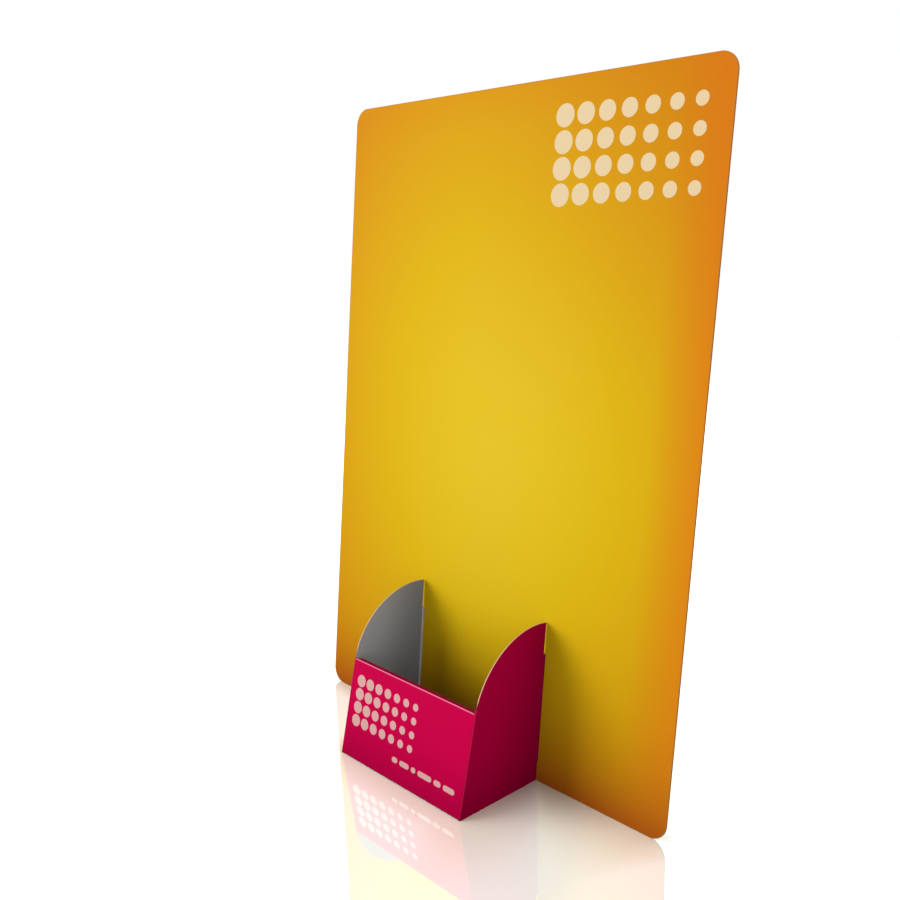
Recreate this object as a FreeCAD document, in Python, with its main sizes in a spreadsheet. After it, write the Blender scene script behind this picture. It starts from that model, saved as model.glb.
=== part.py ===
"""Counter-top display stand of board and card: a poster board that leans back a little, a leaflet
pocket folded from one card sheet at its foot, and a folded easel back that props it up.

Frame: +X to the right as seen from the front, +Y to the back, +Z up, in millimetres. The origin
lies on the table, in the middle of the stand's footprint.
"""

import FreeCAD, Part
import os
import re

import Sketcher

SIZES = [
    ("panel_width", 297.0, "poster board, across"),
    ("panel_height", 420.0, "poster board, from foot to top edge"),
    ("panel_thickness", 1.2, "poster board"),
    ("panel_corner", 10.5, "radius of the poster board's four corners"),
    ("panel_lean", 3.6, "degrees that the poster board leans back"),
    ("card_thickness", 0.8, "card of the pocket"),
    ("card_fold", 0.6, "outer radius of a fold in the card"),
    ("pocket_width", 109.8, "outside of one side wall to outside of the other"),
    ("pocket_depth", 66.6, "poster board's front to the pocket's front, on the table"),
    ("front_height", 62.0, "top edge of the front wall above the table"),
    ("front_lean", 10.9, "degrees that the front wall leans back"),
    ("side_rise", 101.7, "rear top corner of a side wall, up the board"),
    ("side_arc", 53.0, "radius of a side wall's curved top edge"),
    ("lip_ledge", 3.2, "turned-over top of the front wall, front to back"),
    ("lip_drop", 11.0, "how far the turned-over lip hangs inside"),
    ("lip_gap", 0.6, "lip's end to the side wall, at the fold"),
    ("lip_mitre", 2.4, "how much the ledge narrows at each end"),
    ("lip_taper", 3.0, "how much the hanging lip narrows at each end"),
    ("base_gap", 0.5, "pocket's base to the poster board"),
    ("flap_height", 14.0, "glue flaps of the base"),
    ("flap_inset", 3.0, "glue flap's lower end to the front wall's foot"),
    ("flap_slant", 6.0, "slant of a glue flap's ends"),
    ("tab_foot", 12.0, "lower end of a rear tab, up the board"),
    ("tab_top", 83.5, "upper end of a rear tab, up the board"),
    ("tab_reach", 18.0, "a tab's fold to its free edge, behind the board"),
    ("tab_slant", 5.0, "slant of a tab's ends"),
    ("tab_bend", 0.8, "inner radius of a tab's fold"),
    ("edge_relief", 1.0, "how far a side wall stands off the board above its tab"),
    ("slot_outer_gap", 0.4, "slot beside a tab, on its outer side"),
    ("slot_inner_gap", 0.2, "slot beside the inside of a tab's fold"),
    ("slot_end_gap", 0.5, "slot past each end of a tab"),
    ("easel_thickness", 1.2, "board of the easel back"),
    ("easel_fold", 0.9, "outer radius of the easel's crease"),
    ("easel_foot", 6.0, "lower end of the glued strip, up the board"),
    ("easel_height", 284.0, "glued strip, from its lower end to its top"),
    ("easel_gap", 3.0, "glued strip to the pocket's left tab"),
    ("easel_corner", 14.0, "radius of the easel's two top corners"),
    ("crease_place", 8.0, "crease, to the right of the stand's middle"),
    ("wing_top", 26.0, "depth of the wing at its top"),
    ("wing_reach", 108.0, "poster board's foot to the wing's heel, on the table"),
    ("heel_height", 4.0, "upright end of the wing at its heel"),
    ("toe_length", 24.0, "flat part of the wing's lower edge, on the table"),
    ("lock_rise", 44.0, "lock flap's crease, up the board"),
    ("lock_reach", 62.0, "lock flap, front to back"),
    ("lock_margin", 7.0, "lock flap's crease to the strip's free edge"),
    ("lock_gap", 1.2, "lock flap's side to the wing"),
    ("lock_slant", 16.0, "how much the flap's free side runs in to its rear end"),
    ("hook_start", 36.0, "lock flap's crease to its hook"),
    ("hook_length", 14.0, "hook at its root, front to back"),
    ("hook_slant", 5.0, "how much the hook's rear side slants"),
    ("hook_reach", 6.0, "how far the hook stands through the wing"),
    ("hook_play", 0.4, "free space round the hook in the wing's slot"),
]

# Formulas that several pieces share. The board's front face starts at the foot line, and the
# board stands on its rear lower edge, which lifts the front one a little off the table.
FOOT_LINE = "(pocket_depth - wing_reach) / 2"
FOOT_RISE = "panel_thickness * sin(panel_lean)"
INNER_SIDE = "(pocket_width / 2 - card_thickness)"
FRONT_TOP = "(front_height * tan(front_lean) - pocket_depth)"
STRIP_EDGE = "(tab_reach + easel_gap - pocket_width / 2)"
EASEL_TOP = "(easel_foot + easel_height)"

# Two points closer than this are the same corner, in millimetres.
SAME_PLACE = 1e-5


def sized(text):
    """A formula with each size's name turned into its cell in the sheet."""
    return re.sub(r"[a-z]+_[a-z_]+", lambda name: "Sizes." + name.group(), text)


def on_board(up, behind):
    """The side view's formulas for a point that lies up the poster board and behind its front."""
    across = f"({up}) * sin(panel_lean) + ({behind}) * cos(panel_lean)"
    height = f"{FOOT_RISE} + ({up}) * cos(panel_lean) - ({behind}) * sin(panel_lean)"
    return across, height


def new_document():
    doc = FreeCAD.newDocument("display_stand")
    sheet = doc.addObject("Spreadsheet::Sheet", "Sizes")
    for row, (alias, value, note) in enumerate(SIZES, start=1):
        sheet.set(f"A{row}", alias)
        sheet.set(f"B{row}", str(value))
        sheet.set(f"C{row}", note)
        sheet.setAlias(f"B{row}", alias)
    doc.recompute()
    return doc


def number(item, text):
    """What a formula gives now."""
    return float(item.evalExpression(sized(text)))


def new_body(doc, label):
    """A body that starts in the middle of the poster board's foot line."""
    body = doc.addObject("PartDesign::Body", label)
    body.Label = label
    body.setExpression("Placement.Base.y", sized(FOOT_LINE))
    return body


def origin_plane(body, name):
    """One of the body's own planes: XY, XZ or YZ."""
    planes = [item for item in body.Origin.OriginFeatures if item.Role == f"{name}_Plane"]
    return planes[0]


def new_sketch(body, label, plane, offset=("0", "0", "0"), lean=None):
    """A sketch on one of the body's planes, moved by offset and leaned back if lean is given."""
    sketch = body.newObject("Sketcher::SketchObject", label)
    sketch.AttachmentSupport = [(origin_plane(body, plane), "")]
    sketch.MapMode = "FlatFace"
    if lean:
        back = FreeCAD.Rotation(FreeCAD.Vector(-1, 0, 0), number(sketch, lean))
        sketch.AttachmentOffset = FreeCAD.Placement(FreeCAD.Vector(), back)
        sketch.setExpression("AttachmentOffset.Rotation.Angle", sized(lean))
    for axis, text in zip("xyz", offset):
        sketch.setExpression(f"AttachmentOffset.Base.{axis}", sized(text))
    return sketch


def board_sketch(body, label, behind):
    """A sketch parallel to the poster board: x across, y up the board."""
    _, height = on_board("0", behind)
    depth = f"-({behind}) * cos(panel_lean)"
    return new_sketch(body, label, "XZ", ("0", height, depth), "panel_lean")


def front_sketch(body, label, behind):
    """A sketch parallel to the pocket's front wall: x across, y up the wall."""
    height = f"-({behind}) * sin(front_lean)"
    depth = f"pocket_depth - ({behind}) * cos(front_lean)"
    return new_sketch(body, label, "XZ", ("0", height, depth), "front_lean")


def bind(sketch, kind, places, text):
    """A dimension that the sheet drives."""
    index = sketch.addConstraint(Sketcher.Constraint(kind, *places, number(sketch, text)))
    sketch.setExpression(f"Constraints[{index}]", sized(text))


def clockwise_arc(start, end, radius):
    """The shorter arc from start to end, with its centre on the right. A sketch keeps it the
    other way round, from end to start."""
    half = (end - start) * 0.5
    right = FreeCAD.Vector(half.y, -half.x, 0).normalize()
    centre = start + half + right * (radius**2 - half.Length**2) ** 0.5
    return Part.Arc(end, centre + right * -radius, start)


def add_outline(sketch, corners, arcs=None):
    """A closed outline through corners, each a pair of formulas. arcs gives the radius of each
    side that is curved, by the number of its first corner."""
    arcs = arcs or {}
    count = len(corners)
    points = [FreeCAD.Vector(number(sketch, x), number(sketch, y), 0) for x, y in corners]
    first = sketch.GeometryCount
    for side, start in enumerate(points):
        end = points[(side + 1) % count]
        if side in arcs:
            curve = clockwise_arc(start, end, number(sketch, arcs[side]))
        else:
            curve = Part.LineSegment(start, end)
        sketch.addGeometry(curve, False)
    for side, (x, y) in enumerate(corners):
        here = (first + side, 2 if side in arcs else 1)
        previous = (side - 1) % count
        before = (first + previous, 1 if previous in arcs else 2)
        sketch.addConstraint(Sketcher.Constraint("Coincident", *before, *here))
        bind(sketch, "DistanceX", (-1, 1, *here), x)
        bind(sketch, "DistanceY", (-1, 1, *here), y)
    for side, radius in arcs.items():
        bind(sketch, "Radius", (first + side,), radius)


def add_pad(body, label, sketch, length, midplane=False, backward=False):
    """A plate or prism on a sketch, thickness or length from the sheet."""
    pad = body.newObject("PartDesign::Pad", label)
    pad.Profile = sketch
    pad.setExpression("Length", sized(length))
    pad.Midplane = midplane
    pad.Reversed = backward
    body.Document.recompute()
    return pad


def add_cut(body, label, sketch, length, forward=False):
    """A cut that starts at its sketch. It has to take something from the body."""
    before = body.Shape.Volume
    cut = body.newObject("PartDesign::Pocket", label)
    cut.Profile = sketch
    cut.Reversed = forward
    cut.setExpression("Length", sized(length))
    body.Document.recompute()
    if body.Shape.Volume >= before:
        raise ValueError(f"{label} takes nothing from {body.Label}")


def add_mirror(body, label, feature):
    """The same feature on the other side of the body's middle."""
    mirror = body.newObject("PartDesign::Mirrored", label)
    mirror.Originals = [feature]
    mirror.MirrorPlane = (origin_plane(body, "YZ"), [""])
    body.Tip = mirror
    body.Document.recompute()


def round_edges(body, label, radius, lines):
    """Rounds the straight edges that lie on the given lines. A line is a pair of spots, each with
    a formula for x, y and z in the body's own frame."""
    base = body.Tip
    spans = [[place_of(body, spot) for spot in line] for line in lines]
    names = []
    for place, edge in enumerate(base.Shape.Edges, start=1):
        ends = [vertex.Point for vertex in edge.Vertexes]
        if len(ends) == 2 and any(lies_on(ends, *span) for span in spans):
            names.append(f"Edge{place}")
    if not names:
        raise ValueError(f"{label} finds no edge on {body.Label}")
    fillet = body.newObject("PartDesign::Fillet", label)
    fillet.Base = (base, names)
    fillet.setExpression("Radius", sized(radius))
    body.Document.recompute()


def place_of(body, spot):
    """The point that a spot's three formulas give now."""
    return FreeCAD.Vector(*(number(body, text) for text in spot))


def lies_on(ends, start, end):
    """True if both ends of an edge are on the straight line from start to end."""
    reach = (end - start).Length
    return all((p - start).Length + (p - end).Length < reach + SAME_PLACE for p in ends)


def make_poster_panel(doc):
    """A flat board with four rounded corners and two upright slots for the pocket's tabs. It is
    drawn upright and then leaned back, on its rear lower edge."""
    body = new_body(doc, "poster_panel")
    back = FreeCAD.Rotation(FreeCAD.Vector(-1, 0, 0), number(body, "panel_lean"))
    body.Placement = FreeCAD.Placement(body.Placement.Base, back)
    body.setExpression("Placement.Rotation.Angle", sized("panel_lean"))
    body.setExpression("Placement.Base.z", sized(FOOT_RISE))

    outline = new_sketch(body, "board_outline", "XZ")
    left, right = "-panel_width / 2", "panel_width / 2"
    corners = [(left, "0"), (left, "panel_height"), (right, "panel_height"), (right, "0")]
    add_outline(outline, corners)
    add_pad(body, "board", outline, "panel_thickness", backward=True)
    edges = [((x, "0", z), (x, "panel_thickness", z)) for x, z in corners]
    round_edges(body, "board_corners", "panel_corner", edges)

    slots = new_sketch(body, "slot_outlines", "XZ")
    low, high = "tab_foot - slot_end_gap", "tab_top + slot_end_gap"
    for side in (-1, 1):
        outer = f"{side} * (pocket_width / 2 + slot_outer_gap)"
        inner = f"{side} * ({INNER_SIDE} - tab_bend - slot_inner_gap)"
        add_outline(slots, [(outer, low), (outer, high), (inner, high), (inner, low)])
    add_cut(body, "tab_slots", slots, "panel_thickness")
    return body


def add_front_and_base(body):
    """The front wall, its turned-over lip and the base: one bent strip seen from the side."""
    sheet_across = "card_thickness / cos(front_lean)"
    sheet_step = "card_thickness * tan(front_lean)"
    lip_low = "front_height - lip_drop * cos(front_lean)"
    lip_back = f"{FRONT_TOP} + lip_ledge - lip_drop * sin(front_lean)"
    lip_across = "card_thickness * cos(front_lean)"
    under_ledge = "front_height - card_thickness"
    folds = [
        ("-pocket_depth", "0"),
        (FRONT_TOP, "front_height"),
        (f"{FRONT_TOP} + lip_ledge", "front_height"),
    ]
    corners = [
        ("-base_gap", "0"),
        *folds,
        (lip_back, lip_low),
        (f"{lip_back} - {lip_across}", f"{lip_low} + card_thickness * sin(front_lean)"),
        (f"{FRONT_TOP} + lip_ledge - {sheet_across} - {sheet_step}", under_ledge),
        (f"{FRONT_TOP} + {sheet_across} - {sheet_step}", under_ledge),
        (f"-pocket_depth + {sheet_across} + {sheet_step}", "card_thickness"),
        ("-base_gap", "card_thickness"),
    ]
    section = new_sketch(body, "front_section", "YZ")
    add_outline(section, corners)
    add_pad(body, "front_and_base", section, f"2 * {INNER_SIDE}", midplane=True)
    lines = [((f"-{INNER_SIDE}", *spot), (INNER_SIDE, *spot)) for spot in folds]
    round_edges(body, "front_folds", "card_fold", lines)


def add_lip_ends(body):
    """Cuts the ends of the ledge to a mitre, and the ends of the hanging lip to a taper."""
    past = "pocket_width"
    root = f"({INNER_SIDE} - lip_gap)"
    tip = f"({root} - lip_mitre)"
    ledge_front = f"{FRONT_TOP} + card_thickness / cos(front_lean)"
    ledge_back = f"{FRONT_TOP} + lip_ledge"
    mitre = new_sketch(body, "mitre_outlines", "XY", ("0", "0", "front_height"))
    for side in (-1, 1):
        far, fold_end, inner = (f"{side} * {x}" for x in (past, root, tip))
        corners = [
            (far, ledge_front),
            (fold_end, ledge_front),
            (inner, ledge_back),
            (far, ledge_back),
        ]
        add_outline(mitre, corners)
    add_cut(body, "ledge_mitre", mitre, "2 * card_thickness")

    taper = front_sketch(body, "taper_outlines", "lip_ledge * cos(front_lean) - card_thickness")
    high = "front_height / cos(front_lean)"
    low = f"{high} - lip_drop - card_thickness"
    for side in (-1, 1):
        far, inner = (f"{side} * {x}" for x in (past, tip))
        end = f"{side} * ({tip} - lip_taper)"
        add_outline(taper, [(far, low), (far, high), (inner, high), (end, low)])
    add_cut(body, "lip_taper_cut", taper, "2 * card_thickness")


def add_side_walls(body):
    """Two upright walls with a curved top edge. Each stands off the poster board above its tab,
    and runs through the board's slot at the tab."""
    behind = "panel_thickness + card_thickness"
    corners = [
        ("-pocket_depth", "0"),
        (FRONT_TOP, "front_height"),
        on_board("side_rise", "0"),
        on_board("tab_top", "-edge_relief"),
        on_board("tab_top", behind),
        on_board("tab_foot", behind),
        on_board("tab_foot", "0"),
        (f"-{FOOT_RISE} * tan(panel_lean)", "0"),
    ]
    profile = new_sketch(body, "side_profile", "YZ", ("0", "0", INNER_SIDE))
    add_outline(profile, corners, {1: "side_arc"})
    wall = add_pad(body, "right_wall", profile, "card_thickness")
    add_mirror(body, "left_wall", wall)


def add_tabs(body):
    """The walls' rear tabs, folded inwards flat on the back of the poster board."""
    tabs = board_sketch(body, "tab_outlines", "panel_thickness")
    for side in (-1, 1):
        root = f"{side} * (pocket_width / 2)"
        tip = f"{side} * (pocket_width / 2 - tab_reach)"
        corners = [
            (root, "tab_foot"),
            (root, "tab_top"),
            (tip, "tab_top - tab_slant"),
            (tip, "tab_foot + tab_slant"),
        ]
        add_outline(tabs, corners)
    add_pad(body, "rear_tabs", tabs, "card_thickness", backward=True)


def add_base_flaps(body):
    """The base's glue flaps, standing against the inside of the side walls."""
    front, back = "-pocket_depth + flap_inset", "-base_gap"
    corners = [
        (front, "0"),
        (f"{front} + flap_slant", "flap_height"),
        (f"{back} - flap_slant", "flap_height"),
        (back, "0"),
    ]
    profile = new_sketch(body, "flap_profile", "YZ", ("0", "0", f"{INNER_SIDE} - card_thickness"))
    add_outline(profile, corners)
    flap = add_pad(body, "right_flap", profile, "card_thickness")
    add_mirror(body, "left_flap", flap)


def round_tab_folds(body):
    """Bends the tabs: a round inside each fold, and one larger by the card's thickness outside.
    The outer one comes first, because it fails beside an inner one."""
    behind = "panel_thickness + card_thickness"
    inside = [on_board(end, "panel_thickness") for end in ("tab_foot", "tab_top")]
    outside = [on_board(end, behind) for end in ("tab_foot", "tab_top")]
    hollow, full = [], []
    for side in (-1, 1):
        hollow.append([(f"{side} * {INNER_SIDE}", *spot) for spot in inside])
        full.append([(f"{side} * (pocket_width / 2)", *spot) for spot in outside])
    round_edges(body, "tab_rounds", "tab_bend + card_thickness", full)
    round_edges(body, "tab_hollows", "tab_bend", hollow)


def round_front_folds(body):
    """Rounds the upright folds beside the front wall."""
    lines = []
    for side in (-1, 1):
        outer = f"{side} * (pocket_width / 2)"
        lines.append(((outer, "-pocket_depth", "0"), (outer, FRONT_TOP, "front_height")))
    round_edges(body, "upright_folds", "card_fold", lines)


def make_leaflet_pocket(doc):
    """One folded card sheet: front wall with a turned-over lip, base with glue flaps, side walls
    with a curved top edge, and rear tabs through the poster board."""
    body = new_body(doc, "leaflet_pocket")
    add_front_and_base(body)
    add_lip_ends(body)
    add_side_walls(body)
    add_tabs(body)
    add_base_flaps(body)
    round_tab_folds(body)
    round_front_folds(body)
    return body


def lock_outline(start):
    """The lock flap, from its crease backwards, with the hook on its right side."""
    near_wing = "crease_place - easel_thickness - lock_gap"
    free_side = f"({STRIP_EDGE} + lock_margin)"
    hook_tip = "crease_place + hook_reach"
    return [
        (free_side, start),
        (f"{free_side} + lock_slant", f"{start} + lock_reach"),
        (near_wing, f"{start} + lock_reach"),
        (near_wing, f"{start} + hook_start + hook_length"),
        (hook_tip, f"{start} + hook_start + hook_length - hook_slant"),
        (hook_tip, f"{start} + hook_start"),
        (near_wing, f"{start} + hook_start"),
        (near_wing, start),
    ]


def add_strip(body):
    """The strip that is glued to the poster board, with the window that the flap leaves."""
    strip = board_sketch(body, "strip_outline", "panel_thickness")
    corners = [
        (STRIP_EDGE, "easel_foot"),
        (STRIP_EDGE, EASEL_TOP),
        ("crease_place", EASEL_TOP),
        ("crease_place", "easel_foot"),
    ]
    add_outline(strip, corners)
    add_pad(body, "glued_strip", strip, "easel_thickness", backward=True)
    behind = ("panel_thickness", "panel_thickness + easel_thickness")
    corner = tuple((STRIP_EDGE, *on_board(EASEL_TOP, depth)) for depth in behind)
    round_edges(body, "strip_corner", "easel_corner", [corner])
    window = board_sketch(body, "window_outline", "panel_thickness")
    add_outline(window, lock_outline("lock_rise"))
    add_cut(body, "flap_window", window, "easel_thickness")


def add_wing(body):
    """The upright wing behind the crease, with its toe on the table, the flap's slot and the
    cut-out that the hook leaves at the crease."""
    side = ("0", "0", "crease_place - easel_thickness")
    wing = new_sketch(body, "wing_profile", "YZ", side)
    corners = [
        on_board("easel_foot", "panel_thickness"),
        on_board(EASEL_TOP, "panel_thickness"),
        on_board(EASEL_TOP, "panel_thickness + wing_top"),
        ("wing_reach", "heel_height"),
        ("wing_reach", "0"),
        ("wing_reach - toe_length", "0"),
    ]
    add_outline(wing, corners)
    add_pad(body, "wing", wing, "easel_thickness")
    corner = tuple((x, *corners[2]) for x in (side[2], "crease_place"))
    round_edges(body, "wing_corner", "easel_corner", [corner])

    hook = new_sketch(body, "hook_openings", "YZ", side)
    crease_y, crease_z = on_board("lock_rise", "panel_thickness")
    front = f"{crease_y} + hook_start - hook_play"
    back = f"{crease_y} + hook_start + hook_length + hook_play"
    low, high = f"{crease_z} - easel_thickness - hook_play", f"{crease_z} + hook_play"
    add_outline(hook, [(front, low), (front, high), (back, high), (back, low)])
    cut_low, cut_high = "lock_rise + hook_start", "lock_rise + hook_start + hook_length"
    outer = "panel_thickness + hook_reach"
    corners = [
        on_board(cut_low, "0"),
        on_board(cut_high, "0"),
        on_board(f"{cut_high} - hook_slant", outer),
        on_board(cut_low, outer),
    ]
    add_outline(hook, corners)
    add_cut(body, "hook_cuts", hook, "easel_thickness", forward=True)


def add_lock_flap(body):
    """The flap, folded down out of the strip to lie level, with its hook through the wing."""
    crease_y, crease_z = on_board("lock_rise", "panel_thickness")
    flap = new_sketch(body, "flap_outline", "XY", ("0", "0", f"{crease_z} - easel_thickness"))
    add_outline(flap, lock_outline(crease_y))
    add_pad(body, "lock_flap", flap, "easel_thickness")


def make_easel_back(doc):
    """One die-cut and folded board: glued strip, wing and lock flap."""
    body = new_body(doc, "easel_back")
    add_strip(body)
    add_wing(body)
    add_lock_flap(body)
    ends = [on_board(up, "panel_thickness") for up in ("easel_foot", EASEL_TOP)]
    crease = tuple(("crease_place", *spot) for spot in ends)
    round_edges(body, "crease_round", "easel_fold", [crease])
    return body


def check(doc, bodies):
    """Stops on any object that failed, and on any piece that isn't a sound single solid."""
    for item in doc.Objects:
        if "Invalid" in item.State or "Error" in item.State:
            raise ValueError(f"{item.Label} failed: {item.State}")
    for body in bodies:
        shape = body.Shape
        if shape.isNull() or not shape.isValid() or len(shape.Solids) != 1:
            raise ValueError(f"{body.Label} isn't one valid solid")


def main():
    doc = new_document()
    bodies = [make_poster_panel(doc), make_leaflet_pocket(doc), make_easel_back(doc)]
    doc.recompute()
    check(doc, bodies)
    os.makedirs("parts", exist_ok=True)
    for body in bodies:
        body.Shape.exportStep(f"parts/{body.Label}.step")
        box = body.Shape.BoundBox
        print(body.Label, f"{body.Shape.Volume:.0f} mm3", box)


main()
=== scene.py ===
"""Looks of a counter-top display stand: a printed poster board, a leaflet pocket folded from one
card sheet, and a grey board easel behind them.

The board and the pocket are drawn flat as a die would cut them, given their thickness and soft
cut edges, and the pocket is then folded. In a sheet's own frame the first number runs across, the
second up, and the third from its printed side into the sheet. All lengths are in metres.
"""

import math
from collections import namedtuple

import bpy
import numpy as np
from bpy.props import FloatProperty, FloatVectorProperty, PointerProperty
from mathutils import Matrix, Vector


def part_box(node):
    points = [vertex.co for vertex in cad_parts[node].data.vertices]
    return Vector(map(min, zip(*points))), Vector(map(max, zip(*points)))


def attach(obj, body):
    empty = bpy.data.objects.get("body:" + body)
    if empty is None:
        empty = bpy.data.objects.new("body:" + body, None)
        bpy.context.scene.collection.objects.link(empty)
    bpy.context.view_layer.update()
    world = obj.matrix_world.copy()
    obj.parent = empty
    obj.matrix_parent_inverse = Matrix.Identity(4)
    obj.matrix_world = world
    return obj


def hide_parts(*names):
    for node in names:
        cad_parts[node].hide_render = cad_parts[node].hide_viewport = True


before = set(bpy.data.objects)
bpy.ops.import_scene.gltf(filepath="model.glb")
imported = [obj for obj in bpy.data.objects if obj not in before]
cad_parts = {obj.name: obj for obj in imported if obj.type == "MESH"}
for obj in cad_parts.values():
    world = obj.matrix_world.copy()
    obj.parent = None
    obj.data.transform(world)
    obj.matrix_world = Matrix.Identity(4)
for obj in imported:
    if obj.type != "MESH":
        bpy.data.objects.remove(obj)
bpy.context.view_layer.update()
BOARD_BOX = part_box("poster_panel")
POCKET_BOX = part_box("leaflet_pocket")
EASEL_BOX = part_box("easel_back")

bl_info = {
    "name": "Counter display stand",
    "version": (1, 0, 0),
    "blender": (4, 5, 0),
    "location": "View3D > Sidebar > Display stand",
    "description": "Builds a poster board with a folded leaflet pocket and an easel back",
    "category": "Object",
}

MM = 0.001
RIGHT_ANGLE = math.pi / 2
PRINTED, INSIDE, CUT = 0, 1, 2
BLACK, WHITE = (0.0, 0.0, 0.0), (1.0, 1.0, 1.0)

# How finely curves are divided, and how close two places on a sheet are to be made one.
ROLL_STEPS = 6
CORNER_STEPS = 9
ARC_STEPS = 40
EDGE_STEPS = 3
WELD = 0.001 * MM

# The poster board's columns from its middle to a slot, and from there to the corners. Its rows
# beside a slot, and above it.
INNER_COLUMNS = 4
OUTER_COLUMNS = 6
SLOT_ROWS = 5
UPPER_ROWS = 16

# A pocket side wall's rows, from its foot to its top: the tab starts and ends on two of them.
SIDE_ROWS = 14
TAB_FIRST_ROW = 2
TAB_LAST_ROW = 11

# The base's columns and rows, and a flap's or tab's columns past its fold, as shares of its width.
BASE_COLUMNS = 9
BASE_ROWS = 6
FLAP_SHARES = np.array([0.5, 1.0])

# How many fold radii past the front wall a side wall's own columns start, and how far before the
# ear, as a share of the lip's gap, a place still belongs to the side wall.
PAST_FOLD = 1.5
EAR_MARGIN = 0.1

# Where an even noise has its middle, and how deep a sheet's relief is.
NOISE_MIDDLE = 0.5
RELIEF_DEPTH = 0.05 * MM

# Paper fibres: the fine noise's detail, and how fine and how strong the cloudy one is beside it.
FIBRE_DETAIL = 3.0
CLOUD_FINENESS = 0.03
CLOUD_WEIGHT = 0.6

# How rough and glossy each surface is, how strong its relief is, and how fine and how dark its
# fibres are.
Finish = namedtuple("Finish", "roughness gloss relief fineness contrast")
BOARD_PRINT = Finish(roughness=0.48, gloss=0.025, relief=0.10, fineness=2600.0, contrast=0.03)
BOARD_BACK = Finish(roughness=0.78, gloss=0.05, relief=0.35, fineness=1500.0, contrast=0.08)
CARD_PRINT = Finish(roughness=0.46, gloss=0.02, relief=0.12, fineness=2600.0, contrast=0.05)
CARD_INSIDE = Finish(roughness=0.78, gloss=0.05, relief=0.30, fineness=1900.0, contrast=0.07)
CUT_EDGE = Finish(roughness=0.85, gloss=0.05, relief=0.50, fineness=5000.0, contrast=0.16)
GREY_BOARD = Finish(roughness=0.88, gloss=0.10, relief=0.60, fineness=1500.0, contrast=0.14)

# How much of the light that bounces off a sheet is taken away, and how much its roughness varies.
BOUNCE_DAMPING = 0.7
GLOSS_SPREAD = 0.16

# Fold marks, ink wear and a painted highlight along the folds: how strong they are on the side
# folds beside the top one, how steeply they fade beside a fold, and the noise that breaks them up.
SIDE_FOLD_MARK = 0.06
FOLD_MARK_POWER = 4
FOLD_MARK_GRAIN = 1800.0
FOLD_MARK_SPREAD = 0.8

# A cut edge's printed skin, as a share of the sheet's thickness, and how softly it ends.
BOARD_SKIN = 0.12
CARD_SKIN = 0.14
SKIN_BLUR = 0.4

# The grey board's flecks and specks: how long they are drawn upright, how strong they are, and for
# each kind the fineness of its noise and the values between which it shows.
FLECK_STRETCH = (1.0, 1.0, 0.35)
FLECK_WEIGHT = 0.5
FLECKS = (900.0, 0.62, 0.72)
SPECKS = (1300.0, 0.60, 0.72)

# The board's glow: half its width and height, its middle up the board, and where it is yellow.
GLOW_HALF_WIDTH = 358.5 * MM
GLOW_HALF_HEIGHT = 500 * MM
GLOW_HEIGHT = 209 * MM
YELLOW_STOP = 0.171

# The warmer bands along the board's edges: their widths, and how warm the two weak ones get.
RIGHT_BAND = 32.7 * MM
LEFT_BAND = 120 * MM
LEFT_WARMTH = 0.105
TOP_BAND = 24.2 * MM
TOP_WARMTH = 0.184

# The deeper top right corner: its width, height and strength.
CORNER_WIDTH = 300 * MM
CORNER_HEIGHT = 250 * MM
CORNER_WARMTH = 0.334

# The brownish foot, a painted shade where the board meets the floor: its height, and how
# steeply it deepens.
FOOT_BAND = 89.4 * MM
FOOT_STEEPNESS = 2.78

# The painted shade behind the pocket: its strength, its top and sides, and how wide they blur.
POCKET_SHADE = 0.35
POCKET_SHADE_TOP = 105 * MM
TOP_BLUR = 65 * MM
POCKET_SHADE_SIDE = 52 * MM
SIDE_BLUR = 22 * MM

# The thin darker line painted along the board's cut edges as their shade: where it starts and
# where it is full, before the edge, and its strength.
RIM_WIDTH = 0.9 * MM
RIM_FULL = 0.4 * MM
RIM_SHADE_SHARE = 0.45

# The pocket's print: where the painted shade on the side walls starts and ends across the sheet,
# and how strong it is, how strong the painted shade on the turned-over top is, and where the
# painted shade at the foot starts and ends, and how strong it is.
REAR_START_END = (72 * MM, 128 * MM)
REAR_SHADE = 0.4
LEDGE_SHADE = 0.8
CARD_FOOT_START_END = (36 * MM, -10.8 * MM)
CARD_FOOT_SHADE = 0.42

# The pocket's inside: where the painted shade on the side walls starts and ends, and how strong
# it is, and how much paler it is painted in the floor's mirror image.
INSIDE_START_END = (66 * MM, 104 * MM)
INSIDE_SHADE = 0.34
MIRROR_PALENESS = 0.9

# How far before the board the tabs' creases start, and over which width they blur.
CREASE_WIDTH = 0.9 * MM
CREASE_BLUR = 0.4 * MM

# Printed shapes, on the flat sheet. A block of dots has the middle of its first dot across and
# up, its pitch, and the radius of its first and last column. The dashes have their lengths, their
# first left end and middle line, and half the width over which every shape blurs into the ground.
DOT_COLUMNS = 7
DOT_ROWS = 4
BOARD_DOTS = (41 * MM, 354 * MM, 14.8 * MM, 6.6 * MM, 3.9 * MM)
POCKET_DOTS = (-45 * MM, 25 * MM, 8.6 * MM, 3.85 * MM, 2.3 * MM)
DASH_LENGTHS = np.array([5.0, 8.5, 4.0, 12.0, 6.0, 9.5]) * MM
DASH_GAP = 2.0 * MM
DASH_START = -7.3 * MM
DASH_HEIGHT = 13.8 * MM
DASH_HALF_HEIGHT = 1.7 * MM
INK_BLEED = 0.12 * MM

# How much of the floor the board's foot covers from front to back, and the easel's to each side.
BOARD_FOOT = 1.3 * MM
EASEL_FOOT = 12 * MM

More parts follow.
